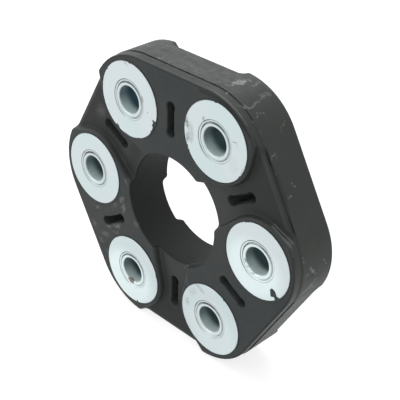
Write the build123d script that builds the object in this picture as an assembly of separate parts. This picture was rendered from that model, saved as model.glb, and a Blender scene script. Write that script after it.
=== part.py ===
from build123d import *
import os
from math import acos, cos, pi, radians, sin, tan

# A flexible shaft coupling. A moulded rubber disc carries steel bushings on one bolt circle.
# Inside each link a loop of wound cord runs round two neighbouring bushings and takes the pull.
# The shaft axis is Y, through the origin at half thickness. The front looks along -Y and +Z is up.
# All pieces are drawn with the shaft along local z, front upwards, and are stood up at the end.

# The coupling as a whole
link_pairs = 3
bolt_circle_diameter = 100.0
overall_thickness = 23.4

# Steel bushings
bolt_hole_diameter = 12.2
sleeve_wall = 1.9
sleeve_mouth_chamfer = 0.4
sleeve_end_chamfer = 0.35
collar_diameter = 34.0
collar_thickness = 2.2
collar_rim_chamfer = 0.3
collar_setback = 0.1
hub_wall = 2.0
staked_ring_width = 1.1
staked_ring_depth = 0.15
collar_mouth_chamfer = 0.3
middle_ring_thickness = 2.0
middle_ring_setback = 1.0

# Loops of wound cord, which keep inside the rims of the collars
flange_overhang = 1.5

# Rubber cover over the metal and the loops
side_cover = 4.0
corner_cover = 2.6
bore_cover = 2.2
collar_stand = 0.15
front_edge_radius = 0.9
rear_edge_radius = 1.2

# Seam of the mould, with the narrower band in front of it, and the ramp that eases out of the
# seam along a recessed link
seam_setback = 1.3
seam_width = 0.5
seam_depth = 0.5
band_inset = 0.4
ramp_length = 30.0
ramp_width = 2.2
ramp_depth = 1.0

# Recessed links, and the lobes of full height round the bushings
recess_depth = 3.0
lobe_land = 1.2
lobe_nose_radius = 1.7
lobe_tail_radius = 12.0
flank_width = 0.9
crest_radius = 1.4
foot_radius = 1.2

# Radial slots through the links
slot_width = 3.8
slot_end_diameter = 4.6
slot_end_cover = 2.0
slot_mouth_chamfer = 0.3

# How near two places count as the same, and how far a cutter runs past the face it cuts
same_place = 0.01
cutter_margin = 1.0

# Sizes that follow
bushing_count = 2 * link_pairs
half_link_angle = 180.0 / bushing_count
bolt_circle_radius = bolt_circle_diameter / 2
link_span = bolt_circle_diameter * sin(radians(half_link_angle))
link_distance = bolt_circle_radius * cos(radians(half_link_angle))
face_level = overall_thickness / 2
collar_level = face_level - collar_setback
plateau_level = collar_level - collar_stand
floor_level = plateau_level - recess_depth
seam_level = floor_level - seam_setback
bolt_hole_radius = bolt_hole_diameter / 2
sleeve_radius = bolt_hole_radius + sleeve_wall
collar_radius = collar_diameter / 2
hub_radius = sleeve_radius + hub_wall
ring_radius = collar_radius - middle_ring_setback
loop_radius = collar_radius - flange_overhang
loop_bottom = middle_ring_thickness / 2
loop_top = collar_level - collar_thickness
flat_distance = link_distance + collar_radius + side_cover
corner_reach = bolt_circle_radius + collar_radius + corner_cover
bore_radius = link_distance - loop_radius - bore_cover


def bushing_angle(index):
    return 2 * half_link_angle * index


def at_bushing(index):
    return Rot(0, 0, bushing_angle(index)) * Pos(bolt_circle_radius, 0, 0)


def at_link(index):
    return Rot(0, 0, bushing_angle(index) + half_link_angle)


def raised_at_front(index):
    return index % 2 == 1


def turned(points):
    # A closed profile of radius and height, turned round the local z axis
    profile = Plane.XZ * make_face(Polyline(*points, close=True))
    return revolve(profile, Axis.Z)


def flipped(piece):
    return Rot(180, 0, 0) * piece


def sleeve():
    bore = bolt_hole_radius
    mouth = bore + sleeve_mouth_chamfer
    points = [(bore, 0), (bore, face_level - sleeve_mouth_chamfer), (mouth, face_level)]
    points += [(sleeve_radius - sleeve_end_chamfer, face_level)]
    points += [(sleeve_radius, face_level - sleeve_end_chamfer), (sleeve_radius, 0)]
    half = turned(points)
    return half + flipped(half)


def collar():
    staked_radius = sleeve_radius + staked_ring_width
    staked_level = collar_level - staked_ring_depth
    points = [(sleeve_radius, loop_bottom), (sleeve_radius, staked_level - collar_mouth_chamfer)]
    points += [(sleeve_radius + collar_mouth_chamfer, staked_level)]
    points += [(staked_radius, staked_level), (staked_radius + staked_ring_depth, collar_level)]
    points += [(collar_radius - collar_rim_chamfer, collar_level)]
    points += [(collar_radius, collar_level - collar_rim_chamfer)]
    points += [(collar_radius, loop_top), (hub_radius, loop_top), (hub_radius, loop_bottom)]
    return turned(points)


def middle_ring():
    ring = Circle(ring_radius) - Circle(sleeve_radius)
    return Pos(0, 0, -loop_bottom) * extrude(ring, middle_ring_thickness)


def reinforcement_loop(index):
    # The winding of a link, at the front level in a link that is raised at the front
    outline = SlotCenterToCenter(link_span, 2 * loop_radius, rotation=90)
    outline -= SlotCenterToCenter(link_span, 2 * hub_radius, rotation=90)
    winding = Pos(link_distance, 0, loop_bottom) * extrude(outline, loop_top - loop_bottom)
    if not raised_at_front(index):
        winding = flipped(winding)
    return at_link(index) * winding


def disc_outline(inset):
    # Flats between wide corner arcs, each arc centred on the line from the axis to a bushing
    secant = 1 / cos(radians(half_link_angle))
    corner_radius = (flat_distance * secant - corner_reach) / (secant - 1)
    outline = RegularPolygon(flat_distance, bushing_count, major_radius=False)
    outline = fillet(outline.vertices(), corner_radius)
    return offset(outline, -inset) - Circle(bore_radius)


def seam():
    # The thin groove that the mould leaves round the outside, in the face of the wider depth
    ring = disc_outline(-cutter_margin) - disc_outline(seam_depth) - Circle(link_distance)
    return Pos(0, 0, seam_level - seam_width) * extrude(ring, seam_width)


def seam_ramp():
    # The rim of a wide flat cone, which cuts deepest at the middle of the link
    radius = ramp_length ** 2 / (8 * ramp_depth) + ramp_depth / 2
    cone = Cone(radius - ramp_depth, radius, ramp_width)
    return Pos(flat_distance + radius - ramp_depth, 0, seam_level - ramp_width / 2) * cone


def lobe_outline(spread):
    # Nose at the bore, round the collar, and tail past the corner, joined by their tangents
    centres = [bore_radius, bolt_circle_radius, corner_reach]
    radii = [lobe_nose_radius + spread, collar_radius + lobe_land + spread, lobe_tail_radius + spread]
    turns = [acos((radii[i] - radii[i + 1]) / (centres[i + 1] - centres[i])) for i in range(2)]

    def on_circle(circle, angle):
        return (centres[circle] + radii[circle] * cos(angle), radii[circle] * sin(angle))

    side = (turns[0] + turns[1]) / 2
    upper = Line(on_circle(0, turns[0]), on_circle(1, turns[0]))
    upper += ThreePointArc(on_circle(1, turns[0]), on_circle(1, side), on_circle(1, turns[1]))
    upper += Line(on_circle(1, turns[1]), on_circle(2, turns[1]))
    nose = ThreePointArc(on_circle(0, -turns[0]), on_circle(0, pi), on_circle(0, turns[0]))
    tail = ThreePointArc(on_circle(2, turns[1]), on_circle(2, 0), on_circle(2, -turns[1]))
    return make_face(nose + upper + tail + mirror(upper, Plane.XZ))


def lobe():
    crest = Pos(0, 0, plateau_level) * lobe_outline(0)
    foot = Pos(0, 0, floor_level) * lobe_outline(flank_width)
    return loft([foot, crest], ruled=True)


def beside(wires, point):
    # Whether a point lies over or under one of the wires
    return min(wire.distance_to(Vertex(point.X, point.Y, 0)) for wire in wires) < same_place


def recess(index):
    # The space over the floor of a recessed link, between the lobes of its two bushings
    reach = 2 * corner_reach
    half_width = reach * tan(radians(half_link_angle))
    sector = make_face(Polyline((0, 0), (reach, -half_width), (reach, half_width), close=True))
    space = extrude(sector, face_level)
    ground = extrude(sector, floor_level)
    for side in (-1, 1):
        ground += space & (Rot(0, 0, side * half_link_angle) * lobe())

    def flank_edges(level):
        # Those inside the sector, as the others lie in its three sides
        edges = ground.edges().filter_by_position(Axis.Z, level, level)
        return [edge for edge in edges if not beside([Wire(sector.edges())], edge @ 0.5)]

    ground = fillet(flank_edges(plateau_level), crest_radius)
    ground = fillet(flank_edges(floor_level), foot_radius)
    space -= ground
    if raised_at_front(index):
        space = flipped(space)
    return at_link(index) * space


def stepped_slab():
    # The disc with its recesses, in two depths that meet at the seam
    front = extrude(disc_outline(band_inset), plateau_level - seam_level)
    rear = extrude(disc_outline(0), seam_level + plateau_level)
    slab = Pos(0, 0, seam_level) * front + Pos(0, 0, -plateau_level) * rear
    return slab - [recess(index) for index in range(bushing_count)]


def rounded_rim(slab, outline, side, radius):
    # Rounds the edges on one side that run along the outline, up and down over lobes and floors
    wires = outline.wires()

    def on_rim(point):
        return side * point.Z > floor_level - same_place and beside(wires, point)

    edges = [edge for edge in slab.edges() if all(on_rim(edge @ place) for place in (0, 0.5, 1))]
    return fillet(edges, radius)


def slot(index):
    # Runs between the two strands of the loop, with a wider round end at each end
    end_radius = slot_end_diameter / 2
    end_place = hub_radius - slot_end_cover - end_radius
    outline = Rectangle(2 * end_place, slot_width)
    outline += GridLocations(2 * end_place, 0, 2, 1) * Circle(end_radius)
    mouth = extrude(outline, slot_mouth_chamfer, taper=-45)
    opening = Pos(0, 0, -face_level) * extrude(outline, overall_thickness)
    opening += Pos(0, 0, plateau_level - slot_mouth_chamfer) * mouth
    opening += flipped(Pos(0, 0, floor_level - slot_mouth_chamfer) * mouth)
    if not raised_at_front(index):
        opening = flipped(opening)
    return at_link(index) * Pos(link_distance, 0, 0) * opening


def bushing_space():
    # The room that a bushing's collars, hubs and middle ring take in the rubber
    points = [(0, 0), (ring_radius, 0), (ring_radius, loop_bottom), (hub_radius, loop_bottom)]
    points += [(hub_radius, loop_top), (collar_radius, loop_top), (collar_radius, face_level)]
    points += [(0, face_level)]
    half = turned(points)
    return half + flipped(half)


def rubber_body():
    links = range(bushing_count)
    body = rounded_rim(stepped_slab(), disc_outline(band_inset), 1, front_edge_radius)
    body = rounded_rim(body, disc_outline(0), -1, rear_edge_radius)
    body -= seam()
    body -= [at_link(index) * seam_ramp() for index in links if not raised_at_front(index)]
    body -= [slot(index) for index in links]
    body -= [at_bushing(index) * bushing_space() for index in links]
    body -= [reinforcement_loop(index) for index in links]
    return body


def write(name, piece):
    standing = Plane.XZ * piece
    export_step(standing, f"parts/{name}.step")


os.makedirs("parts", exist_ok=True)
write("rubber_body", rubber_body())
for index in range(bushing_count):
    number = index + 1
    write(f"sleeve_{number}", at_bushing(index) * sleeve())
    write(f"front_collar_{number}", at_bushing(index) * collar())
    write(f"rear_collar_{number}", at_bushing(index) * flipped(collar()))
    write(f"middle_ring_{number}", at_bushing(index) * middle_ring())
    write(f"reinforcement_loop_{number}", reinforcement_loop(index))
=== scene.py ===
import bmesh
import bpy
import math
from mathutils import Matrix, Vector


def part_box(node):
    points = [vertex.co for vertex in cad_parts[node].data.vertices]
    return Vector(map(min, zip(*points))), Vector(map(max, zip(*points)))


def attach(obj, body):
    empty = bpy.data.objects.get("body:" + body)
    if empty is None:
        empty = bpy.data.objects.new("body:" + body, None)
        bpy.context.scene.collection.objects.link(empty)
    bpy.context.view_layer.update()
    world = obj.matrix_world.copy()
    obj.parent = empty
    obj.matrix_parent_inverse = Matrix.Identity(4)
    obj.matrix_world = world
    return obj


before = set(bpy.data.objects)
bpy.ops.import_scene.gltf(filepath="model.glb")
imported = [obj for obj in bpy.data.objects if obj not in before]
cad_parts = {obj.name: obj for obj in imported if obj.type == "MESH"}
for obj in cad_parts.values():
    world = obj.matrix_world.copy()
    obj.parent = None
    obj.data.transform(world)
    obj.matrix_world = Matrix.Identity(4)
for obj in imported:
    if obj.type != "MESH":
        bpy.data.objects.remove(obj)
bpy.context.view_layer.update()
print("frame loaded with", len(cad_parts), "nodes")

mm = 0.001                          # the frame is in metres, sizes below are in millimetres
samePlace = 1e-7                    # corners closer than this are joined, in metres
bushingCount = 6
pitchRadius = 50.0                  # from the shaft axis to each bushing
collarRadius = 17.0
collarFace = -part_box("front_collar_1")[0].y / mm
rubberFace = -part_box("rubber_body")[0].y / mm
flatReach = -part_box("rubber_body")[0].z / mm
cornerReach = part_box("rubber_body")[1].x / mm
halfStep = math.pi / bushingCount   # from a bushing's direction to that of the link beside it
bushingStep = 2 * halfStep
cornerRadius = (flatReach / math.cos(halfStep) - cornerReach) / (1 / math.cos(halfStep) - 1)
cornerCentre = cornerReach - cornerRadius


def bushingCentre(number):
    angle = bushingStep * (number - 1)
    return pitchRadius * math.cos(angle), pitchRadius * math.sin(angle)


def onCollar(number, across, up):   # a place given from a collar's own centre
    x, z = bushingCentre(number)
    return x + across, -collarFace, z + up


# Sockets in sums, and the net that makes the nodes

class Wire:
    def __init__(self, net, socket):
        self.net = net
        self.socket = socket

    def __add__(self, other):
        return self.net.math("ADD", self, other)

    def __radd__(self, other):
        return self.net.math("ADD", other, self)

    def __sub__(self, other):
        return self.net.math("SUBTRACT", self, other)

    def __rsub__(self, other):
        return self.net.math("SUBTRACT", other, self)

    def __mul__(self, other):
        return self.net.math("MULTIPLY", self, other)

    def __rmul__(self, other):
        return self.net.math("MULTIPLY", other, self)

    def __truediv__(self, other):
        return self.net.math("DIVIDE", self, other)

    def __rtruediv__(self, other):
        return self.net.math("DIVIDE", other, self)


class Net:
    def __init__(self, tree):
        self.tree = tree

    def node(self, kind, settings=None, inputs=None, output=0):
        made = self.tree.nodes.new(kind)
        for name, value in (settings or {}).items():
            setattr(made, name, value)
        for name, value in (inputs or {}).items():
            self.feed(made.inputs[name], value)
        return Wire(self, made.outputs[output]) if made.outputs else None

    def feed(self, socket, value):
        if isinstance(value, Wire):
            self.tree.links.new(value.socket, socket)
        elif socket.type == "RGBA":
            socket.default_value = (*value[:3], 1.0)
        else:
            socket.default_value = value

    def other(self, wire, output):      # another output of the node that a wire comes from
        return Wire(self, wire.socket.node.outputs[output])

    def math(self, operation, *values):
        return self.node("ShaderNodeMath", {"operation": operation}, dict(enumerate(values)))

    def vector(self, operation, *values, output=0):
        settings = {"operation": operation}
        return self.node("ShaderNodeVectorMath", settings, dict(enumerate(values)), output)

    def scaled(self, vector, factor):
        return self.node("ShaderNodeVectorMath", {"operation": "SCALE"}, {0: vector, "Scale": factor})

    def length(self, vector):
        return self.vector("LENGTH", vector, output="Value")

    def split(self, vector):
        x = self.node("ShaderNodeSeparateXYZ", inputs={0: vector})
        return x, self.other(x, "Y"), self.other(x, "Z")

    def joined(self, x, y, z):
        return self.node("ShaderNodeCombineXYZ", inputs={0: x, 1: y, 2: z})

    def ease(self, value, low, high, start=0.0, end=1.0):  # a smooth step between two values
        inputs = {"Value": value, "From Min": low, "From Max": high, "To Min": start, "To Max": end}
        return self.node("ShaderNodeMapRange", {"interpolation_type": "SMOOTHSTEP"}, inputs)

    def blend(self, factor, a, b):
        return self.node("ShaderNodeMix", {"data_type": "RGBA"}, {0: factor, 6: a, 7: b}, 2)

    def noise(self, place, scale, detail=2.0, roughness=0.5, distortion=0.0, output=0):
        inputs = {"Vector": place, "Scale": scale, "Detail": detail}
        inputs |= {"Roughness": roughness, "Distortion": distortion}
        return self.node("ShaderNodeTexNoise", {"noise_dimensions": "3D"}, inputs, output)

    def seenRay(self):                  # 1 for what the camera sees, also in metal and through glass
        camera = self.node("ShaderNodeLightPath", output="Is Camera Ray")
        mirrored = self.other(camera, "Is Glossy Ray")
        passed = self.other(camera, "Is Transmission Ray")
        return self.largest([camera, mirrored, passed])

    def band(self, value, low, high, soft):  # 1 between two values, with soft sides
        return self.ease(value, low - soft, low) * self.ease(value, high + soft, high)

    def largest(self, wires):
        best = wires[0]
        for wire in wires[1:]:
            best = self.math("MAXIMUM", best, wire)
        return best

    def nearest(self, angle):           # the direction of the bushing that an angle lies closest to
        return self.math("ROUND", angle / bushingStep) * bushingStep

    def offBushing(self, angle):
        return self.math("ABSOLUTE", angle - self.nearest(angle))

    def shaken(self, place, scale, reach):  # a place moved about by noise, for ragged edges
        drift = self.noise(place, scale, 3.0, output="Color")
        drift = self.vector("SUBTRACT", drift, (0.5, 0.5, 0.5))
        return self.vector("ADD", place, self.scaled(drift, reach))

    def spot(self, place, centre, size, turn=0.0, soft=0.5):
        # 1 inside an ellipsoid that is turned about the shaft's direction, and 0 outside it
        inputs = {"Vector": place, "Location": centre, "Scale": size}
        inputs["Rotation"] = (0.0, math.radians(-turn), 0.0)
        inside = self.node("ShaderNodeMapping", {"vector_type": "TEXTURE"}, inputs)
        return self.ease(self.length(inside), 1.0, 1.0 - soft)

    def stroke(self, place, start, end, width):
        # 1 along a straight mark between two points, and 0 beside it
        run = Vector(end) - Vector(start)
        offset = self.vector("SUBTRACT", place, start)
        share = self.vector("DOT_PRODUCT", offset, run / run.length_squared, output="Value")
        share = self.math("MINIMUM", self.math("MAXIMUM", share, 0.0), 1.0)
        away = self.length(self.vector("SUBTRACT", offset, self.scaled(run, share)))
        return self.ease(away, width, width * 0.1)

    def threads(self, place, scale, width):  # thin wandering lines
        away = self.math("ABSOLUTE", self.noise(place, scale, 1.0, 0.55, 0.4) - 0.5)
        return self.ease(away, width, 0.0)


slots = {
    "each": 3,                      # how many links stand up at the front, and by how much
    "rise": 3.0,
    "under": (-8.3, -7.9),          # soft limits of the walls, from the middle of a recessed link
    "along": (8.3, 8.1),
    "across": (2.6, 2.4),
}


class Finish(Net):                  # the net of a material, with its shader and its place in millimetres
    def __init__(self, name, **plain):
        self.material = bpy.data.materials.new(name)
        self.material.use_nodes = True
        super().__init__(self.material.node_tree)
        self.tree.nodes.clear()
        self.shader = self.tree.nodes.new("ShaderNodeBsdfPrincipled")
        output = self.tree.nodes.new("ShaderNodeOutputMaterial")
        self.tree.links.new(self.shader.outputs[0], output.inputs["Surface"])
        for socket, value in plain.items():
            self.set(socket.replace("_", " "), value)
        coordinates = self.node("ShaderNodeTexCoord", output="Object")
        self.place = self.scaled(coordinates, 1.0 / mm)

    def set(self, socket, value):
        self.feed(self.shader.inputs[socket], value)

    def bump(self, height, distance, strength=1.0):
        inputs = {"Height": height, "Distance": distance * mm, "Strength": strength}
        self.set("Normal", self.node("ShaderNodeBump", inputs=inputs))

    def fromBushing(self):              # where a point lies from the axis of its nearest bushing
        x, _, z = self.split(self.place)
        angle = self.nearest(self.math("ARCTAN2", z, x))
        across = x - self.math("COSINE", angle) * pitchRadius
        up = z - self.math("SINE", angle) * pitchRadius
        return across, up, self.math("SQRT", across * across + up * up)

    def underWall(self):                # how deep a point lies under the flats and corners of the wall
        x, _, z = self.split(self.place)
        folded = self.offBushing(self.math("ARCTAN2", z, x))
        reach = self.math("SQRT", x * x + z * z)
        along = reach * self.math("COSINE", folded)
        across = reach * self.math("SINE", folded)
        flat = flatReach - along * math.cos(halfStep) - across * math.sin(halfStep)
        ahead = along - cornerCentre
        corner = cornerRadius - self.math("SQRT", ahead * ahead + across * across)
        atCorner = self.math("LESS_THAN", across, ahead * math.tan(halfStep))
        return flat + (corner - flat) * atCorner, reach

    def inSlot(self):                   # 1 on the walls of the slots, under the face of each link
        x, y, z = self.split(self.place)
        angle = self.math("ARCTAN2", z, x)
        off = angle - (self.math("FLOOR", angle / bushingStep) + 0.5) * bushingStep
        reach = self.math("SQRT", x * x + z * z)
        along = reach * self.math("COSINE", off) - pitchRadius * math.cos(halfStep)
        along = self.math("ABSOLUTE", along)
        across = self.math("ABSOLUTE", reach * self.math("SINE", off))
        raised = self.math("LESS_THAN", self.math("SINE", angle * slots["each"]), 0.0)
        under = self.ease(y + raised * slots["rise"], *slots["under"])
        return under * self.ease(along, *slots["along"]) * self.ease(across, *slots["across"])


# Rubber of the body, with dust, scuffs and the dull bloom of the mould, and painted shade and highlights

rubber = {
    "dark": (0.0215, 0.0280, 0.0262),
    "brown": (0.0285, 0.0330, 0.0290),
    # painted shade colour, for the opening, the recessed floors, the front rim and the shaded places
    "paintedShade": (0.005, 0.006, 0.006),
    # painted shade on the front faces, darker and bluer
    "face": (0.006, 0.014, 0.018),
    # painted light: a paler colour on the walls of the slots, so they come out less dark
    "slot": (0.060, 0.066, 0.064),
    # pale colour of dust, and of the painted highlights on rims and edges
    "dustAndHighlight": (0.147, 0.158, 0.154),
    "chalk": (0.46, 0.47, 0.45),
    "roughness": 0.52,
    "gloss": 0.38,
    "noise": {                      # scale, detail, roughness and distortion
        "cloud": (0.045, 4.0, 0.6),
        "grain": (2.6, 3.0, 0.6),
        "bloom": (0.16, 5.0, 0.65, 0.6),
        "speckle": (1.3, 4.0, 0.7),
        "settling": (0.28, 6.0, 0.7),
        "breaks": (2.4, 3.0, 0.7),
        "waves": (0.12, 2.0, 0.5),
    },
    "ragged": (0.7, 3.0),           # scale and reach of what tears the edges of spots and strokes
    "wavering": (0.8, 3.6),
    "opening": (26.4, 25.8),        # soft limits of what lies where: distance from the shaft, inside which the opening's wall gets painted shade
    "floor": (8.2, 9.4, 0.4),       # levels of the recessed floors that get painted shade, with their softness, how far they lie in from the wall, and from the shaft
    "floorDepth": (1.5, 3.0),       # how far they lie in from the wall, and from the shaft
    "floorReach": (30.0, 48.0),
    "front": (-11.2, -11.4),        # level of the front faces, which get a darker, bluer painted shade
    "lip": (-11.0, -11.2),          # levels and depth of the rounded rim: painted shade on it in front, and a painted highlight all round
    "lipDepth": (1.6, 1.0),
    "rim": (10.75, 11.15, 0.3),
    "rimDepth": (1.3, 0.9),
    "top": (61.5, 64.0),            # height from which dust settles
    "frontBand": (-7.3, -6.8, 0.3, 1.0),    # less of it in front of the seam
    # strengths of the painted shade
    "darkness": {"opening": 0.85, "floor": 0.6, "lip": 0.6},
    # strengths of the dust, and of the painted highlight on the rim
    "dustAndRimHighlight": {"bloom": 0.08, "speckle": 0.16, "top": 0.34, "rim": 0.22},
    "strokes": [                    # chalky strokes: start, end, half width, strength
        ((22.7, -0.3, 64.15), (23.3, 2.0, 64.1), 0.9, 0.8),
        ((23.3, 2.0, 64.1), (25.0, 4.4, 63.8), 1.1, 1.0),
        ((25.0, 4.4, 63.8), (25.5, 1.7, 63.75), 1.1, 1.0),
        ((22.7, -0.3, 64.1), (25.5, 1.7, 63.75), 1.0, 0.9),
        ((25.3, 0.8, 63.8), (24.1, -1.2, 64.0), 0.6, 0.6),
        ((24.1, -1.2, 64.0), (24.1, -3.5, 64.0), 0.7, 0.5),
        ((24.1, -3.5, 64.0), (22.7, -3.7, 64.15), 0.7, 0.4),
        ((23.7, 4.8, 64.0), (25.9, 6.7, 63.65), 0.6, 0.6),
        ((22.4, 1.6, 64.2), (21.1, 5.8, 64.3), 0.4, 0.35),
        ((28.6, 4.5, 63.0), (28.0, 9.2, 63.1), 0.7, 0.3),
        ((33.2, -8.0, 60.7), (34.3, -6.8, 60.0), 0.6, 0.4),
        ((34.3, -6.8, 60.0), (35.2, -5.8, 60.0), 0.8, 0.6),
        ((35.2, -5.8, 60.0), (36.2, -3.4, 59.4), 0.7, 0.45),
        ((36.2, -3.4, 59.4), (35.6, -1.4, 59.8), 0.7, 0.4),
        ((35.6, -1.4, 59.8), (35.2, 0.7, 60.0), 0.9, 0.3),
        ((35.2, 0.7, 60.0), (34.4, 3.2, 60.5), 0.8, 0.22),
        ((33.9, 4.0, 60.8), (34.0, 8.0, 60.7), 1.6, 0.24),
        ((39.2, -4.4, 57.2), (38.5, -2.7, 57.7), 0.6, 0.35),
        ((38.5, -2.7, 57.7), (39.1, -0.6, 57.3), 0.6, 0.3),
        ((39.1, -0.6, 57.3), (40.5, -0.2, 56.0), 0.5, 0.25),
        ((42.4, -6.2, 53.5), (43.1, -6.2, 52.5), 0.5, 0.25),
        ((44.3, 4.4, 51.6), (43.3, 7.2, 52.9), 0.5, 0.3),
        ((44.3, 4.4, 51.6), (45.3, 3.4, 50.0), 0.5, 0.2),
        ((49.0, -5.8, 43.7), (48.5, -2.9, 44.6), 0.6, 0.42),
        ((48.5, -3.1, 44.6), (49.4, -2.7, 43.0), 0.5, 0.3),
        ((51.8, -6.3, 38.5), (52.3, -6.0, 37.8), 0.4, 0.3),
        ((55.2, -0.4, 33.1), (55.8, 1.0, 31.9), 0.5, 0.36),
        ((57.3, -3.7, 29.4), (57.0, -2.6, 29.8), 0.6, 0.42),
        ((69.4, -2.5, 2.8), (69.6, -1.0, 0.1), 0.8, 0.9),
        ((69.6, -0.6, 0.9), (69.5, 0.6, -1.7), 0.7, 0.6),
        ((69.6, -4.5, 0.5), (69.6, -3.9, -0.5), 0.7, 0.7),
        ((69.2, 2.2, -4.8), (68.6, -0.1, -7.7), 0.9, 0.6),
        ((68.6, -0.1, -7.7), (68.2, -4.7, -9.1), 1.1, 0.45),
        ((68.9, 0.8, -4.2), (68.2, -2.0, -9.0), 0.9, 0.4),
        ((67.9, -6.3, 8.6), (68.8, -6.3, 6.4), 0.6, 0.3),
        ((69.4, 5.3, 3.0), (69.6, 7.3, 0.1), 0.7, 0.35),
        ((-12.7, -5.7, 64.3), (-12.4, -5.0, 64.3), 0.6, 0.8),
        ((-7.6, -5.0, 64.3), (-7.5, -3.6, 64.3), 0.5, 0.5),
        ((6.2, -4.2, 64.3), (5.5, 0.0, 64.3), 0.5, 0.35),
        ((1.3, -2.6, 64.3), (1.3, -1.1, 64.3), 0.5, 0.4),
        ((-24.0, 5.0, 63.9), (-18.0, 5.8, 64.3), 0.7, 0.3),
    ],
    "edges": [                      # mostly painted highlights, on edges where the rubber bends towards the light; three of them follow the pale torn rim of the opening
        ((20.0, -10.6, 64.1), (23.4, -10.6, 63.7), 0.6, 0.45),
        ((23.4, -10.6, 63.7), (27.6, -10.6, 62.8), 0.6, 0.80),
        ((27.6, -10.6, 62.8), (31.5, -10.5, 61.5), 0.6, 1.00),
        ((31.5, -10.5, 61.5), (34.8, -10.4, 59.8), 0.6, 0.95),
        ((34.8, -10.4, 59.8), (37.6, -10.4, 58.0), 0.6, 0.80),
        ((37.6, -10.4, 58.0), (40.0, -10.3, 55.9), 0.6, 0.55),
        ((25.0, -6.9, 63.4), (31.0, -6.9, 61.6), 0.5, 0.40),
        ((31.0, -6.9, 61.6), (36.5, -6.9, 58.7), 0.5, 0.60),
        ((36.5, -6.9, 58.7), (41.0, -6.9, 54.9), 0.5, 0.50),
        ((21.0, 10.5, 64.0), (32.0, 10.5, 61.4), 2.8, 0.25),
        ((54.9, -9.7, 18.1), (65.7, -10.5, 14.0), 0.65, 0.85),
        ((55.0, -8.7, 18.6), (65.3, -8.9, 14.7), 0.55, 0.70),
        ((46.7, -8.2, 45.0), (53.5, -8.1, 34.7), 0.7, 0.16),
        ((53.5, -8.1, 34.7), (60.2, -8.1, 23.1), 0.7, 0.12),
        ((28.2, -11.4, -15.0), (28.4, -11.4, -22.0), 0.3, 0.10),
        ((28.2, -11.4, -15.0), (34.6, -11.4, -11.6), 0.3, 0.08),
        ((6.0, -8.45, -27.4), (8.0, -8.45, -25.4), 0.9, 0.35),
        ((8.0, -8.4, -25.4), (10.7, -7.8, -23.4), 0.9, 0.45),
        ((10.7, -7.8, -23.3), (13.5, -6.0, -21.8), 0.9, 0.50),
        ((9.5, -10.5, -26.8), (11.2, -11.4, -32.6), 2.0, 0.30),
        ((66.5, 6.0, -12.5), (56.0, 4.0, -31.5), 5.5, 0.28),
        ((65.1, -8.5, -15.1), (53.8, -8.5, -34.7), 0.5, 0.22),
        ((65.3, -10.7, -14.2), (54.0, -10.7, -33.8), 0.5, 0.20),
    ],
    "shades": [                     # places that the light hardly reaches
        ((46.7, -6.9, 47.0), (55.7, -6.9, 30.7), 1.5, 0.7),
        ((55.7, -6.9, 30.7), (62.6, -7.3, 17.8), 1.5, 0.8),
        ((43.8, -10.6, 51.0), (44.9, -9.6, 47.1), 1.6, 0.8),
        ((44.9, -9.6, 47.1), (43.7, -9.5, 41.0), 1.4, 0.8),
        ((43.7, -9.5, 41.0), (38.5, -9.5, 32.5), 1.3, 0.6),
        ((67.4, -10.6, 10.1), (68.5, -10.9, 5.9), 0.6, 0.8),
        ((56.0, -8.5, 20.2), (65.0, -8.5, 16.4), 1.3, 0.6),
        ((16.2, -11.4, 62.2), (26.2, -11.4, 62.1), 1.3, 0.6),
        ((26.2, -11.4, 62.1), (30.1, -11.4, 61.2), 1.5, 0.9),
        ((30.1, -11.4, 61.2), (35.1, -11.4, 58.8), 1.5, 1.0),
        ((35.1, -11.4, 58.8), (38.1, -11.4, 56.8), 1.5, 1.0),
        ((38.1, -11.4, 56.8), (40.7, -11.3, 54.5), 1.5, 1.0),
        ((40.7, -11.3, 54.5), (43.0, -11.2, 52.1), 1.4, 0.9),
        ((-24.0, -8.5, 19.5), (-28.0, -8.5, 8.5), 6.0, 0.45),
        ((-20.0, -9.3, 64.2), (18.0, -9.3, 64.2), 2.4, 0.35),
    ],
    "dusty": [                      # places with a film of dust: centre, half sizes, turn, strength
        ((-48.0, -8.3, 28.0), (6.0, 3.0, 4.5), 30, 0.45),
        ((-27.0, -11.3, 3.6), (2.0, 2.0, 3.0), 0, 0.5),
        ((-52.0, -11.5, -30.0), (4.0, 2.0, 3.0), 0, 0.5),
        ((-40.0, -11.5, -18.0), (15.0, 2.0, 13.0), 0, 0.08),
    ],
    "residue": [                    # pale crusts of rubber dust, most of them about the lower left slot
        ((-47.0, -8.3, 29.5), (5.5, 3.0, 4.5), 30, 0.16),
        ((-36.3, -11.5, -13.2), (3.0, 2.0, 1.0), 40, 0.22),
        ((-31.5, -11.5, -8.4), (3.6, 2.0, 1.6), 50, 0.48),
        ((-30.3, -11.5, -12.0), (1.6, 2.0, 4.2), 0, 0.40),
        ((-48.7, -11.5, -20.1), (1.7, 2.0, 1.4), 0, 0.35),
        ((-41.1, -11.5, -27.1), (2.8, 2.0, 1.1), 15, 0.38),
        ((-35.4, -11.5, -24.2), (4.2, 2.0, 1.5), 22, 0.55),
        ((-44.0, -11.5, -32.4), (4.5, 2.0, 2.2), 15, 0.28),
        ((-36.0, -11.5, -28.0), (3.0, 2.0, 1.0), 20, 0.25),
        ((-22.0, -11.5, -16.7), (2.2, 2.0, 2.6), 0, 0.24),
        ((-51.5, -11.5, -30.5), (2.0, 2.0, 2.0), 0, 0.25),
        ((-47.0, -11.5, -37.3), (2.2, 2.0, 1.5), -30, 0.35),
        ((-28.4, -11.4, 2.2), (0.7, 2.0, 3.0), 40, 0.30),
        ((-42.8, -11.5, -41.7), (1.6, 2.0, 2.5), 0, 0.15),
        ((68.6, -1.0, -8.0), (2.0, 4.0, 3.5), 0, 0.32),
        ((68.0, 3.0, -10.0), (2.0, 3.0, 3.0), 0, 0.25),
    ],
}


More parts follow.
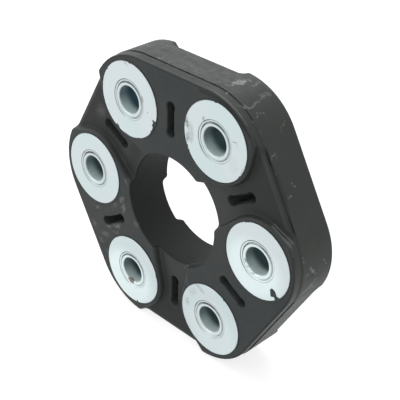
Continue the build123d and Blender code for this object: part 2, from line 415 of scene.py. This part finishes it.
def rubberFinish():
    look = Finish("mouldedRubber")
    depth, reach = look.underWall()
    _, y, z = look.split(look.place)
    level = look.math("ABSOLUTE", y)
    ragged = look.shaken(look.place, *rubber["ragged"])
    wavering = look.shaken(look.place, *rubber["wavering"])
    darkness, dustAndRimHighlight = rubber["darkness"], rubber["dustAndRimHighlight"]

    def pattern(name):
        return look.noise(look.place, *rubber["noise"][name])

    def strokes(name, place):
        return look.largest([look.stroke(place, start, end, width) * strength
                             for start, end, width, strength in rubber[name]])

    def spots(name, soft):
        return look.largest([look.spot(ragged, place, size, turn, soft) * strength
                             for place, size, turn, strength in rubber[name]])

    cloud, grain = pattern("cloud"), pattern("grain")
    base = look.blend(look.ease(cloud, 0.35, 0.65), rubber["dark"], rubber["brown"])
    # painted shade on the inner wall of the opening
    opening = look.ease(reach, *rubber["opening"])
    # painted shade on the recessed floors
    floor = look.band(level, *rubber["floor"]) * look.ease(depth, *rubber["floorDepth"])
    floor = floor * look.ease(reach, *rubber["floorReach"])
    # painted shade on the front faces, darker and bluer
    front = look.ease(y, *rubber["front"]) * (0.24 + 0.22 * look.ease(cloud, 0.6, 0.4))
    base = look.blend(front, base, rubber["face"])
    # painted shade on the front half of the rounded rim
    lip = look.ease(y, *rubber["lip"]) * look.ease(depth, *rubber["lipDepth"])
    shade = look.largest([opening * darkness["opening"], floor * darkness["floor"],
                          lip * darkness["lip"], strokes("shades", look.place)])
    # paint the shade into the base colour
    base = look.blend(shade, base, rubber["paintedShade"])
    # painted light: a paler colour on the walls of the slots
    base = look.blend(look.inSlot(), base, rubber["slot"])

    bloom = look.ease(pattern("bloom"), 0.52, 0.75)
    speckle = look.ease(pattern("speckle"), 0.48, 0.66)
    settled = look.ease(z, *rubber["top"]) * look.ease(pattern("settling"), 0.38, 0.62)
    settled = settled * look.ease(y, *rubber["frontBand"])
    # painted highlights on the rounded rim and along the edges are carried with the dust below
    rim = look.band(level, *rubber["rim"]) * look.ease(depth, *rubber["rimDepth"])
    rim = rim * look.ease(cloud, 0.2, 0.5)
    dustAndHighlight = look.largest([spots("dusty", 0.8) * (0.25 + 0.75 * speckle),
                         bloom * dustAndRimHighlight["bloom"], speckle * bloom * dustAndRimHighlight["speckle"],
                         settled * dustAndRimHighlight["top"], rim * dustAndRimHighlight["rim"],
                         strokes("edges", look.place) * (0.7 + 0.4 * speckle)])
    broken = 0.35 + 0.65 * look.ease(pattern("breaks"), 0.42, 0.58)
    chalk = look.largest([strokes("strokes", wavering), spots("residue", 0.9)]) * broken

    colour = look.blend(look.math("MINIMUM", dustAndHighlight, 1.0), base, rubber["dustAndHighlight"])
    look.set("Base Color", look.blend(chalk, colour, rubber["chalk"]))
    uneven = 0.12 * bloom + 0.2 * dustAndHighlight + (grain - 0.5) * 0.12 + shade * 0.2
    look.set("Roughness", rubber["roughness"] + uneven)
    look.set("Specular IOR Level", rubber["gloss"])
    look.bump(grain * 0.35 + pattern("waves") * 2.2 + chalk * 0.5, 0.16, 0.7)
    return look.material


# Zinc plate of the collars and sleeves, with painted light and shade in the bores, the grooves and on
# the lower collars

zinc = {
    "plate": (0.680, 0.770, 0.780),
    "cool": (0.650, 0.770, 0.775),
    "lilac": (0.700, 0.765, 0.790),
    "worn": (0.25, 0.27, 0.26),
    # painted shade in the grooves round the sleeves
    "grooveShade": (0.055, 0.065, 0.065),
    "rust": (0.230, 0.170, 0.145),
    # painted shade deep in the bores and painted light at their mouths
    "borePaintedShade": (0.112, 0.176, 0.190),
    "boreBlue": (0.100, 0.220, 0.330),
    "borePaintedLight": (0.82, 0.97, 0.95),
    # painted light: a paler plate for the lower collars
    "paintedLightPlate": (0.87, 0.985, 0.995),
    "metal": 0.55,
    "boreMetal": 0.20,
    "roughness": 0.34,
    "noise": {                      # scale, detail and roughness
        "drift": (0.05, 2.0),
        "clouds": (0.35, 4.0, 0.6),
        "mottle": (1.5, 5.0, 0.75),
        "uneven": (0.16, 2.0),
        "fine": (1.6, 3.0, 0.6),
    },
    "ragged": (0.8, 1.6),
    "scratches": (0.22, 0.012),
    "groove": (7.50, 8.05, 0.12),   # painted shade round the sleeve and round the staked ring, from its axis
    "line": (8.88, 9.12, 0.17),
    "towards": (-0.8, 0.6),         # the side where the painted shade is darkest
    "grooveSide": (-7.0, 3.0, 0.45, 1.0),
    "lineSide": (-6.0, 4.0, 0.4, 1.0),
    "boreRadius": (6.45, 6.15),
    "boreLight": (5.6, 9.2),        # levels between which the bore gets painted light
    "boreDown": (1.0, -5.6),        # heights between which it gets more
    "boreShare": (0.28, 0.74),
    "blueBore": 3,                  # the bushing whose bore is tinted most
    "tint": 0.6,
    "tintSize": (9.0, 30.0, 9.0),
    "wornSpots": [                  # bushing, place from its centre, half sizes, turn, strength
        (2, (-15.3, 2.8), (1.4, 3.0), 8, 0.95),
        (2, (-14.8, -3.2), (1.5, 3.4), -6, 0.95),
        (2, (-13.2, -0.8), (2.2, 6.0), 4, 0.45),
        (2, (-6.3, 7.6), (0.9, 1.5), 10, 0.8),
        (2, (10.4, 3.9), (1.7, 0.4), 10, 0.85),
        (2, (11.7, 2.8), (0.4, 1.3), 0, 0.7),
        (2, (15.2, -6.5), (0.8, 3.4), -24, 0.35),
        (3, (8.3, 3.2), (0.8, 2.2), 0, 0.75),
        (3, (11.5, -1.4), (0.4, 0.45), 0, 1.0),
        (3, (-1.5, 15.8), (2.0, 0.5), -28, 0.7),
        (4, (-6.8, 5.7), (0.7, 0.9), 0, 0.9),
        (6, (-6.0, 13.6), (4.4, 1.4), -24, 0.42),
        (6, (-13.4, 2.6), (1.7, 2.6), 0, 0.42),
        (6, (-10.5, 9.5), (2.6, 4.0), -40, 0.22),
        (1, (-6.0, -2.6), (0.6, 1.4), 20, 1.0),
        (1, (-4.5, -4.6), (1.3, 0.5), 45, 0.9),
        (1, (-1.6, -6.3), (2.0, 0.4), 12, 0.9),
    ],
    # painted light on three lower collars
    "paintedLightSpots": [
        (5, (-3.0, -6.0), (21.0, 18.0), 0, 1.0),
        (1, (-2.0, -5.0), (19.0, 17.0), 0, 0.85),
        (6, (2.0, -6.0), (19.0, 17.0), 0, 0.4),
    ],
    "rustSpots": [
        (5, (-0.9, -6.3), (2.8, 1.5), -20, 1.3),
        (2, (10.5, -6.0), (3.5, 5.0), 0, 0.08),
    ],
}


def zincFinish(name, withBoreLight):
    look = Finish(name)
    ragged = look.shaken(look.place, *zinc["ragged"])

    def pattern(name):
        return look.noise(look.place, *zinc["noise"][name])

    drift = look.ease(pattern("drift"), 0.4, 0.6)
    clouds = look.ease(pattern("clouds"), 0.35, 0.7)
    mottle = look.ease(pattern("mottle"), 0.42, 0.58)
    uneven = look.ease(pattern("uneven"), 0.35, 0.6)
    fine = pattern("fine")

    def marks(spots):
        return look.largest([
            look.spot(ragged, onCollar(number, *at), (size[0], 2.0, size[1]), turn) * strength
            for number, at, size, turn, strength in zinc[spots]])

    plate = look.blend(drift, zinc["cool"], zinc["lilac"])
    plate = look.blend(clouds * 0.5, plate, zinc["plate"])
    # painted light: a paler plate on three lower collars
    plate = look.blend(marks("paintedLightSpots"), plate, zinc["paintedLightPlate"])
    worn = marks("wornSpots") * (0.25 + 0.75 * mottle)
    rust = marks("rustSpots") * (0.6 + 0.4 * mottle)
    across, up, radius = look.fromBushing()
    # painted shade in the groove round the sleeve end and along the staked ring, darkest towards the
    # upper left
    side = across * zinc["towards"][0] + up * zinc["towards"][1]
    groove = look.band(radius, *zinc["groove"]) * (0.6 + 0.4 * uneven)
    groove = groove * look.ease(side, *zinc["grooveSide"])
    line = look.band(radius, *zinc["line"]) * (1.0 - 0.4 * uneven)
    line = line * look.ease(side, *zinc["lineSide"])

    def marked(colour):
        return look.blend(rust, look.blend(worn, colour, zinc["worn"]), zinc["rust"])

    colour = look.blend(look.math("MAXIMUM", groove * 0.9, line), marked(plate), zinc["grooveShade"])
    metal = zinc["metal"]
    if withBoreLight:
        # painted light in the bore: paler near the mouth and low down, painted shade deeper in
        level = look.math("ABSOLUTE", look.split(look.place)[1])
        down = look.ease(up, *zinc["boreDown"])
        least, more = zinc["boreShare"]
        boreLightShare = look.ease(level + down * 0.9, *zinc["boreLight"]) * (least + more * down)
        x, z = bushingCentre(zinc["blueBore"])
        tint = look.spot(look.place, (x, 0.0, z), zinc["tintSize"]) * zinc["tint"]
        paintedShade = look.blend(tint, zinc["borePaintedShade"], zinc["boreBlue"])
        bore = marked(look.blend(boreLightShare, paintedShade, zinc["borePaintedLight"]))
        inside = look.ease(radius, *zinc["boreRadius"])
        colour = look.blend(inside, colour, bore)
        metal = metal + (zinc["boreMetal"] - metal) * inside
    look.set("Metallic", metal)
    look.set("Base Color", colour)
    wear = (fine - 0.5) * 0.10 + worn * 0.2 + rust * 0.3 + groove * 0.2
    look.set("Roughness", zinc["roughness"] + wear)
    scratches = look.threads(look.place, *zinc["scratches"])
    look.bump(fine * 0.25 - scratches * 0.35 - worn * 0.6, 0.03, 0.5)
    return look.material


# Wound cord of the loops, which shows only if the rubber is hidden

cord = {
    "dark": (0.16, 0.13, 0.09),
    "pale": (0.36, 0.31, 0.24),
    "slant": 2.2,                   # how fast the turns of cord follow each other, along and across
    "pitch": 9.0,
}


def cordFinish():
    look = Finish("woundCord", Roughness=0.85)
    x, y, z = look.split(look.place)
    turns = look.math("SINE", (x + z) * cord["slant"] + y * cord["pitch"])
    look.set("Base Color", look.blend(look.ease(turns, -0.6, 0.6), cord["dark"], cord["pale"]))
    look.bump(turns, 0.2)
    return look.material


def dress(prefixes, material):
    for name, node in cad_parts.items():
        if name.startswith(prefixes):
            for slot in node.material_slots:
                slot.material = material


rubberLook = rubberFinish()
plateLook = zincFinish("zincPlate", False)
sleeveLook = zincFinish("sleeveZinc", True)
dress("rubber_body", rubberLook)
dress(("front_collar", "rear_collar", "middle_ring"), plateLook)
dress("sleeve", sleeveLook)
dress("reinforcement_loop", cordFinish())
print("materials on the frame's nodes")


# Geometry Nodes: a tree with named inputs, run once and turned into a plain mesh

def newTree(name, inputs):
    tree = bpy.data.node_groups.new(name, "GeometryNodeTree")
    tree.interface.new_socket("Geometry", in_out="INPUT", socket_type="NodeSocketGeometry")
    for label, value in inputs.items():
        socket = tree.interface.new_socket(label, in_out="INPUT", socket_type="NodeSocketFloat")
        socket.default_value = value
    tree.interface.new_socket("Geometry", in_out="OUTPUT", socket_type="NodeSocketGeometry")
    net = Net(tree)
    entry = tree.nodes.new("NodeGroupInput")
    return net, {socket.name: Wire(net, socket) for socket in entry.outputs if socket.name}


def endTree(net, geometry, material):
    whole = net.node("GeometryNodeRealizeInstances", inputs={0: geometry})
    painted = net.node("GeometryNodeSetMaterial", inputs={0: whole, "Material": material})
    net.node("NodeGroupOutput", inputs={0: painted})


def placed(name, data):
    thing = bpy.data.objects.new(name, data)
    bpy.context.scene.collection.objects.link(thing)
    return thing


def grown(net, name, values):
    start = placed(name + "Start", bpy.data.meshes.new(name + "Start"))
    modifier = start.modifiers.new("nodes", "NODES")
    modifier.node_group = net.tree
    for item in net.tree.interface.items_tree:
        if item.in_out == "INPUT" and item.name in values:
            modifier[item.identifier] = values[item.name]
    graph = bpy.context.evaluated_depsgraph_get()
    plain = bpy.data.meshes.new_from_object(start.evaluated_get(graph))
    bpy.data.objects.remove(start)
    return placed(name, plain)


# Thin film of rubber over the rims of the collars, wider and ragged where the mould leaked

film = {
    "outer": collarRadius + 0.35,
    "inner": collarRadius,
    "thick": 0.10,
    "sunk": 0.04,
    "columns": 480,
    "rows": 9,
    "ragged": 0.16,
    "coarse": (0.55, 3.0, 0.6),     # noise: scale, detail and roughness
    "fine": (2.2, 3.0, 0.7),
    "leaks": [                      # bushing, direction in degrees, half span in degrees, reach
        (3, 145, 4, 1.4),
        (3, 88, 4, 0.8),
        (3, -20, 9, 0.9),
        (3, -36, 10, 0.8),
        (3, -72, 14, 1.0),
        (3, -95, 12, 0.9),
        (3, -118, 10, 1.5),
        (2, 165, 16, 0.6),
        (2, 208, 14, 1.0),
        (2, 90, 3, 0.8),
        (2, -12, 12, 0.4),
        (2, -38, 16, 0.6),
        (1, 112, 8, 0.6),
        (1, -70, 12, 0.4),
        (4, 205, 14, 0.4),
        (4, 243, 6, 0.8),
        (5, 43, 6, 0.5),
        (5, 16, 8, 0.6),
        (5, -80, 6, 1.8),
        (6, 61, 3, 0.9),
        (6, 200, 14, 0.4),
    ],
}


def filmTree():
    net, given = newTree("rimFilm", {"Side": -1.0, "Face": collarFace, "Seed": 0.0})
    grid = net.node("GeometryNodeMeshGrid", inputs={
        "Size X": 1.0, "Size Y": 1.0, "Vertices X": film["columns"] + 1, "Vertices Y": film["rows"]})
    x, y, _ = net.split(net.node("GeometryNodeInputPosition"))

    def kept(geometry, name, value, kind="FLOAT"):
        settings = {"data_type": kind, "domain": "POINT"}
        inputs = {"Geometry": geometry, "Name": name, "Value": value}
        return net.node("GeometryNodeStoreNamedAttribute", settings, inputs)

    def read(name, kind="FLOAT"):
        return net.node("GeometryNodeInputNamedAttribute", {"data_type": kind}, {"Name": name})

    strip = kept(grid, "turn", (x + 0.5) * (2 * math.pi))
    strip = kept(strip, "girth", (y + 0.5) * (2 * math.pi))
    strip = net.node("GeometryNodeTransform", inputs={"Geometry": strip, "Scale": (mm, mm, mm)})
    centres = net.node("GeometryNodeMeshCircle", inputs={
        "Vertices": bushingCount, "Radius": pitchRadius * mm})
    centres = net.node("GeometryNodeMeshToPoints", inputs={"Mesh": centres})
    centres = kept(centres, "centre", net.node("GeometryNodeInputPosition"), "FLOAT_VECTOR")
    rings = net.node("GeometryNodeInstanceOnPoints", inputs={"Points": centres, "Instance": strip})
    rings = net.node("GeometryNodeRealizeInstances", inputs={0: rings})

    turn, girth = read("turn"), read("girth")
    centreX, centreZ, _ = net.split(net.scaled(read("centre", "FLOAT_VECTOR"), 1.0 / mm))
    away = (net.math("COSINE", turn), net.math("SINE", turn))
    rimX = centreX + away[0] * film["inner"]
    rimZ = centreZ + away[1] * film["inner"]
    rim = net.joined(rimX, given["Seed"], rimZ)
    coarse, fine = net.noise(rim, *film["coarse"]), net.noise(rim, *film["fine"])
    reach = net.ease(fine, 0.5, 0.75) * film["ragged"]
    for number, direction, span, depth in film["leaks"]:
        cx, cz = bushingCentre(number)
        angle = math.radians(direction)
        centre = (cx + film["inner"] * math.cos(angle), 0.0, cz + film["inner"] * math.sin(angle))
        far = net.length(net.vector("SUBTRACT", net.joined(rimX, 0.0, rimZ), centre))
        leak = net.ease(far, film["inner"] * math.radians(span), 0.0)
        reach = reach + leak * depth * net.ease(coarse * 0.4 + fine * 0.6, 0.38, 0.56)
    share = (1.0 - net.math("COSINE", girth)) * 0.5
    radius = film["outer"] - share * (film["outer"] - film["inner"] + reach)
    height = given["Face"] - film["sunk"] + net.math("SINE", girth) * film["thick"]
    shaped = net.joined(centreX + away[0] * radius, given["Side"] * height, centreZ + away[1] * radius)
    rings = net.node("GeometryNodeSetPosition", inputs={
        "Geometry": rings, "Position": net.scaled(shaped, mm)})
    rings = net.node("GeometryNodeMergeByDistance", inputs={"Geometry": rings, "Distance": samePlace})
    for name in ("turn", "girth", "centre"):
        rings = net.node("GeometryNodeRemoveAttribute", inputs={"Geometry": rings, "Name": name})
    endTree(net, rings, rubberLook)
    return net


rimNet = filmTree()
for name, side, seed in (("frontRimFilm", -1.0, 0.0), ("rearRimFilm", 1.0, 40.0)):
    piece = grown(rimNet, name, {"Side": side, "Face": collarFace, "Seed": seed})
    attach(piece, "root")
    print(name, len(piece.data.polygons), "faces")


# Flash in the seam where the halves of the mould closed tightly

flash = {
    "seam": 6.9,                    # level of the seam towards the front
    "groove": 0.5,
    "rear": -0.25,                  # the skin's width, seen from the seam
    "front": 0.75,
    "drop": 0.375,                  # from the wall down to the narrower band
    "thick": 0.015,
    "columns": 160,
    "rows": 9,
    "stretches": [                  # start and end in degrees about the shaft
        (42.5, 55.5),
        (-13.5, 17.5),
        (112.0, 152.0),
    ],
}


def flashTree():
    net, given = newTree("seamFlash", {"Start": 0.0, "End": 1.0})
    grid = net.node("GeometryNodeMeshGrid", inputs={
        "Size X": 1.0, "Size Y": 1.0, "Vertices X": flash["columns"], "Vertices Y": flash["rows"]})
    x, y, _ = net.split(net.node("GeometryNodeInputPosition"))
    share = x + 0.5
    girth = (y + 0.5) * (2 * math.pi)
    angle = (given["Start"] + share * (given["End"] - given["Start"])) * math.radians(1.0)
    folded = net.offBushing(angle)
    sine = net.math("SINE", folded) * cornerCentre
    cosine = net.math("COSINE", folded) * cornerCentre
    corner = cosine + net.math("SQRT", cornerRadius ** 2 - sine * sine)
    flat = flatReach / net.math("COSINE", halfStep - folded)
    middle = (flash["rear"] + flash["front"]) / 2
    half = (flash["front"] - flash["rear"]) / 2
    across = net.math("COSINE", girth)
    sunk = net.ease(net.math("ABSOLUTE", share - 0.5), 0.38, 0.5) * flash["groove"]
    height = (net.math("SINE", girth) - 1.0) * flash["thick"] - (across + 1.0) * (flash["drop"] / 2)
    radius = net.math("MINIMUM", corner, flat) + height - sunk
    level = -flash["seam"] - middle - across * half
    shaped = net.joined(net.math("COSINE", angle) * radius, level, net.math("SINE", angle) * radius)
    strip = net.node("GeometryNodeSetPosition", inputs={
        "Geometry": grid, "Position": net.scaled(shaped, mm)})
    strip = net.node("GeometryNodeMergeByDistance", inputs={"Geometry": strip, "Distance": samePlace})
    endTree(net, strip, rubberLook)
    return net


flashNet = flashTree()
for number, (start, end) in enumerate(flash["stretches"], 1):
    piece = grown(flashNet, f"seamFlash{number}", {"Start": start, "End": end})
    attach(piece, "root")
print("flash in the seam")


# Flakes of rubber that stick to the collars, each an outline from the collar's centre

flakes = {
    "low": -0.02,                   # from just under the face of the collar to above it
    "high": 0.07,
    "outlines": [
        (1, [(7.6, -9.3), (8.3, -8.5), (8.9, -8.4), (10.2, -9.1), (11.1, -10.8), (12.9, -11.2),
             (10.4, -13.6), (10.2, -12.2), (9.6, -11.9), (8.8, -12.4), (8.1, -12.2)]),
        (3, [(14.3, -3.8), (15.3, -4.0), (16.9, -4.3), (16.4, -5.7), (15.9, -5.4), (15.2, -6.3),
             (15.6, -7.3), (14.5, -9.2), (13.9, -8.9), (14.6, -7.4), (14.2, -6.2), (14.9, -5.1)]),
    ],
}


def flake(name, number, outline):
    shape = bmesh.new()
    corners = [[x * mm, (-collarFace - flakes["low"]) * mm, z * mm]
               for x, _, z in (onCollar(number, *corner) for corner in outline)]
    face = shape.faces.new([shape.verts.new(corner) for corner in corners])
    raised = bmesh.ops.extrude_face_region(shape, geom=[face], use_keep_orig=True)
    outwards = Vector((0.0, (flakes["low"] - flakes["high"]) * mm, 0.0))
    upper = [part for part in raised["geom"] if isinstance(part, bmesh.types.BMVert)]
    bmesh.ops.translate(shape, vec=outwards, verts=upper)
    bmesh.ops.recalc_face_normals(shape, faces=shape.faces)
    mesh = bpy.data.meshes.new(name)
    shape.to_mesh(mesh)
    shape.free()
    mesh.materials.append(rubberLook)
    piece = placed(name, mesh)
    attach(piece, "root")


for count, (number, outline) in enumerate(flakes["outlines"], 1):
    flake(f"rubberFlake{count}", number, outline)
print("flakes on the collars")


# Crumbs of rubber dust about the lower left slot

crumbs = {
    "middle": (-42.0, -18.0),
    "width": 30.0,
    "height": 26.0,
    "density": 0.55,                # to the square millimetre
    "size": 0.24,
    "sunk": 0.12,                   # how far a crumb's middle lies under the face
    "slot": (-40.1, -23.1),         # middle of the slot of this link
    "along": 7.5,
    "across": 2.7,
    "margin": 0.6,                  # kept clear round the collars
    "inner": 28.5,                  # and of the edges of the face
    "outer": 2.5,
    "patches": (0.16, 3.0, 0.6),    # noise that keeps them in patches, and where it does
    "bare": 0.52,
    "least": (0.4, 0.3, 0.4),       # shares of the size, across, through and up
    "most": (1.5, 0.8, 1.3),
    "turn": 6.0,
    "seed": 4,
}


def crumbTree():
    net, _ = newTree("crumbs", {})
    grid = net.node("GeometryNodeMeshGrid", inputs={
        "Size X": crumbs["width"] * mm, "Size Y": crumbs["height"] * mm,
        "Vertices X": 2, "Vertices Y": 2})
    x, z = crumbs["middle"]
    level = crumbs["sunk"] - rubberFace
    field = net.node("GeometryNodeTransform", inputs={
        "Geometry": grid, "Translation": (x * mm, level * mm, z * mm),
        "Rotation": (math.pi / 2, 0.0, 0.0)})
    points = net.node("GeometryNodeDistributePointsOnFaces", inputs={
        "Mesh": field, "Density": crumbs["density"] / mm ** 2, "Seed": crumbs["seed"]})
    here = net.scaled(net.node("GeometryNodeInputPosition"), 1.0 / mm)
    hx, _, hz = net.split(here)
    away = net.math("LESS_THAN", net.noise(here, *crumbs["patches"]), crumbs["bare"])
    for number in (4, 5):
        cx, cz = bushingCentre(number)
        far = net.length(net.vector("SUBTRACT", net.joined(hx, 0.0, hz), (cx, 0.0, cz)))
        onMetal = net.math("LESS_THAN", far, collarRadius + crumbs["margin"])
        away = net.math("MAXIMUM", away, onMetal)
    sx, sz = crumbs["slot"]
    lean = math.atan2(sz, sx)
    dx, dz = hx - sx, hz - sz
    along = net.math("ABSOLUTE", dx * math.cos(lean) + dz * math.sin(lean))
    across = net.math("ABSOLUTE", dz * math.cos(lean) - dx * math.sin(lean))
    inSlot = net.math("LESS_THAN", along, crumbs["along"])
    inSlot = inSlot * net.math("LESS_THAN", across, crumbs["across"])
    reach = net.math("SQRT", hx * hx + hz * hz)
    away = net.largest([away, inSlot, net.math("LESS_THAN", reach, crumbs["inner"])])
    link = 7 * halfStep             # direction of this link
    side = hx * math.cos(link) + hz * math.sin(link)
    away = net.math("MAXIMUM", away, net.math("GREATER_THAN", side, flatReach - crumbs["outer"]))
    kept = net.node("GeometryNodeDeleteGeometry", {"domain": "POINT"}, {
        "Geometry": points, "Selection": away})
    grain = net.node("GeometryNodeMeshIcoSphere", inputs={
        "Radius": crumbs["size"] * mm, "Subdivisions": 1})
    turn = net.node("FunctionNodeRandomValue", {"data_type": "FLOAT_VECTOR"}, {
        "Max": (crumbs["turn"],) * 3, "Seed": crumbs["seed"] + 1})
    size = net.node("FunctionNodeRandomValue", {"data_type": "FLOAT_VECTOR"}, {
        "Min": crumbs["least"], "Max": crumbs["most"], "Seed": crumbs["seed"] + 2})
    grains = net.node("GeometryNodeInstanceOnPoints", inputs={
        "Points": kept, "Instance": grain, "Rotation": turn, "Scale": size})
    endTree(net, grains, crumbLook)
    return net


def crumbFinish():
    look = Finish("rubberCrumbs", Roughness=0.8)
    pale = look.ease(look.noise(look.place, 0.9, 2.0), 0.4, 0.62)
    look.set("Base Color", look.blend(pale, rubber["brown"], rubber["dustAndHighlight"]))
    return look.material


crumbLook = crumbFinish()
piece = grown(crumbTree(), "rubberCrumbs", {})
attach(piece, "root")
print("crumbs", len(piece.data.polygons), "faces")


# A fleck of lint on the seam

lint = {
    "place": (26.6, -7.4, 63.15),
    "size": 0.26,
    "white": (0.80, 0.80, 0.78),
}


def lintFinish():
    look = Finish("lint", Roughness=0.9)
    look.set("Base Color", look.blend(look.noise(look.place, 2.0), rubber["chalk"], lint["white"]))
    return look.material


def lintFleck():
    shape = bmesh.new()
    place = Matrix.Translation(Vector(lint["place"]) * mm)
    bmesh.ops.create_icosphere(shape, subdivisions=2, radius=lint["size"] * mm, matrix=place)
    mesh = bpy.data.meshes.new("lint")
    shape.to_mesh(mesh)
    shape.free()
    mesh.materials.append(lintFinish())
    piece = placed("lint", mesh)
    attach(piece, "root")


lintFleck()
print("lint on the seam")


# Floor, lights and camera

stage = {
    "floor": -64.3,                 # where the disc's lower flat stands
    "floorSize": 6.0,
    "white": (0.42, 0.42, 0.42),
    "lift": 0.78,                   # seen but lighting nothing, so that the floor comes out white
    "fill": 0.58,
    "lamps": [                      # name, place, aim, size, watts
        ("overhead", (-0.30, 0.15, 0.80), (0.0, 0.0, 0.0), 1.1, 5.4),
        ("front", (-0.55, -0.75, 0.45), (0.0, 0.0, 0.0), 0.6, 1.4),
    ],
}
view = {                            # of the camera, fitted to the photo
    "place": (257.17, -253.55, 223.41),
    "aim": (6.32, 0.0, 3.86),
    "roll": 1.307,
    "lens": 88.955,
    "sensor": 36.0,
    "nearest": 0.01,
}


def makeFloor():
    half = stage["floorSize"] / 2
    level = stage["floor"] * mm
    corners = [(-half, -half, level), (half, -half, level), (half, half, level), (-half, half, level)]
    mesh = bpy.data.meshes.new("floor")
    mesh.from_pydata(corners, [], [(0, 1, 2, 3)])
    floor = placed("floor", mesh)
    look = Finish("paleFloor", Roughness=0.9, Specular_IOR_Level=0.1)
    look.set("Base Color", stage["white"])
    lift = look.seenRay() * stage["lift"]
    glow = look.node("ShaderNodeEmission", inputs={"Color": (1.0, 1.0, 1.0), "Strength": lift})
    both = look.node("ShaderNodeAddShader", inputs={0: Wire(look, look.shader.outputs[0]), 1: glow})
    look.feed(look.tree.nodes["Material Output"].inputs["Surface"], both)
    mesh.materials.append(look.material)


def makeWorld():
    world = bpy.data.worlds.new("studio")
    world.use_nodes = True
    net = Net(world.node_tree)
    net.tree.nodes.clear()
    strength = stage["fill"] + net.seenRay() * (1.0 - stage["fill"])
    sky = net.node("ShaderNodeBackground", inputs={"Color": (1.0, 1.0, 1.0), "Strength": strength})
    net.node("ShaderNodeOutputWorld", inputs={0: sky})
    bpy.context.scene.world = world


def makeLamps():
    for name, place, aim, size, watts in stage["lamps"]:
        lamp = bpy.data.lights.new(name, "AREA")
        lamp.size = size
        lamp.energy = watts
        holder = placed(name, lamp)
        holder.location = place
        holder.rotation_euler = (Vector(aim) - Vector(place)).to_track_quat("-Z", "Y").to_euler()


def makeCamera():
    lens = bpy.data.cameras.new("camera")
    lens.sensor_width = view["sensor"]
    lens.lens = view["lens"]
    lens.clip_start = view["nearest"]
    camera = placed("camera", lens)
    place, aim = Vector(view["place"]) * mm, Vector(view["aim"]) * mm
    turn = (aim - place).to_track_quat("-Z", "Y").to_matrix().to_4x4()
    roll = Matrix.Rotation(math.radians(view["roll"]), 4, "Z")
    camera.matrix_world = Matrix.Translation(place) @ turn @ roll
    bpy.context.scene.camera = camera


makeFloor()
makeWorld()
makeLamps()
makeCamera()
bpy.context.scene.view_settings.view_transform = "Standard"
print("floor, lights and camera")
